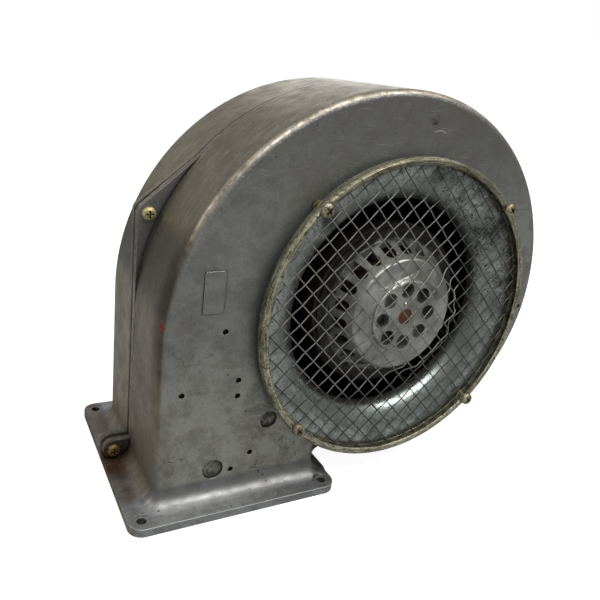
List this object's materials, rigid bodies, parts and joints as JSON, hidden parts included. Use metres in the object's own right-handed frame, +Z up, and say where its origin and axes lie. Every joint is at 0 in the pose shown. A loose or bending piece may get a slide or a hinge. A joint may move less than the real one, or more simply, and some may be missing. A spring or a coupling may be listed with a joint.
{
  "type": "centrifugal blower",
  "caption": "Die-cast scroll blower with a forward-curved wheel on an external-rotor motor, a wire mesh inlet guard and a bolted outlet flange.",
  "frame": {"origin": "centre of the outlet flange's bottom face and of its bolt pattern", "axes": "+Z up out of the flange, +X right seen from the inlet, +Y from the inlet to the motor side along the wheel's axis"},
  "size_m": [0.3331, 0.164, 0.2887],
  "materials": {
    "front_casting": "die-cast, weathered satin with scratches",
    "rear_casting": "die-cast, stained",
    "screw_zinc": "zinc plated, worn",
    "galvanised_sheet": "galvanised, spangled",
    "yellow_zinc": "yellow zinc plated, dulled",
    "wheel_sheet": "galvanised, dusty",
    "hub_cast": "die-cast, satin",
    "core_steel": "laminated steel with surface rust",
    "shaft_steel": "ground, rust-tinted end",
    "bearing_steel": "polished",
    "spring_steel": "blued",
    "stator_steel": "laminated",
    "winding_copper": "varnished copper wire",
    "flange_cast": "die-cast, machined",
    "grommet_rubber": "matte"
  },
  "bodies": {
    "frame": {"front_housing": "front_casting", "rear_housing": "rear_casting", "seam_screws": "screw_zinc", "inlet_nozzle": "galvanised_sheet", "guard_rim": "yellow_zinc", "guard_mesh": "yellow_zinc", "guard_screws": "screw_zinc", "guard_spacers": "yellow_zinc", "front_bearing": "bearing_steel", "rear_bearing": "bearing_steel", "preload_spring": "spring_steel", "stator_core": "stator_steel", "stator_windings": "winding_copper", "motor_flange": "flange_cast", "motor_screws": "screw_zinc", "wire_grommet": "grommet_rubber"},
    "rotor": {"impeller_blades": "wheel_sheet", "impeller_ring": "wheel_sheet", "impeller_backplate": "wheel_sheet", "wheel_clamp_ring": "hub_cast", "wheel_screws": "screw_zinc", "rotor_hub": "hub_cast", "rotor_core": "core_steel", "rotor_end_ring": "hub_cast", "shaft": "shaft_steel", "balance_rivet": "bearing_steel", "retaining_ring": "spring_steel"}
  },
  "joints": [
    {"name": "wheel_spin", "type": "hinge", "parent": "frame", "child": "rotor", "pos_m": [0.119, 0, 0.134], "axis": [0, -1, 0], "continuous": true}
  ]
}
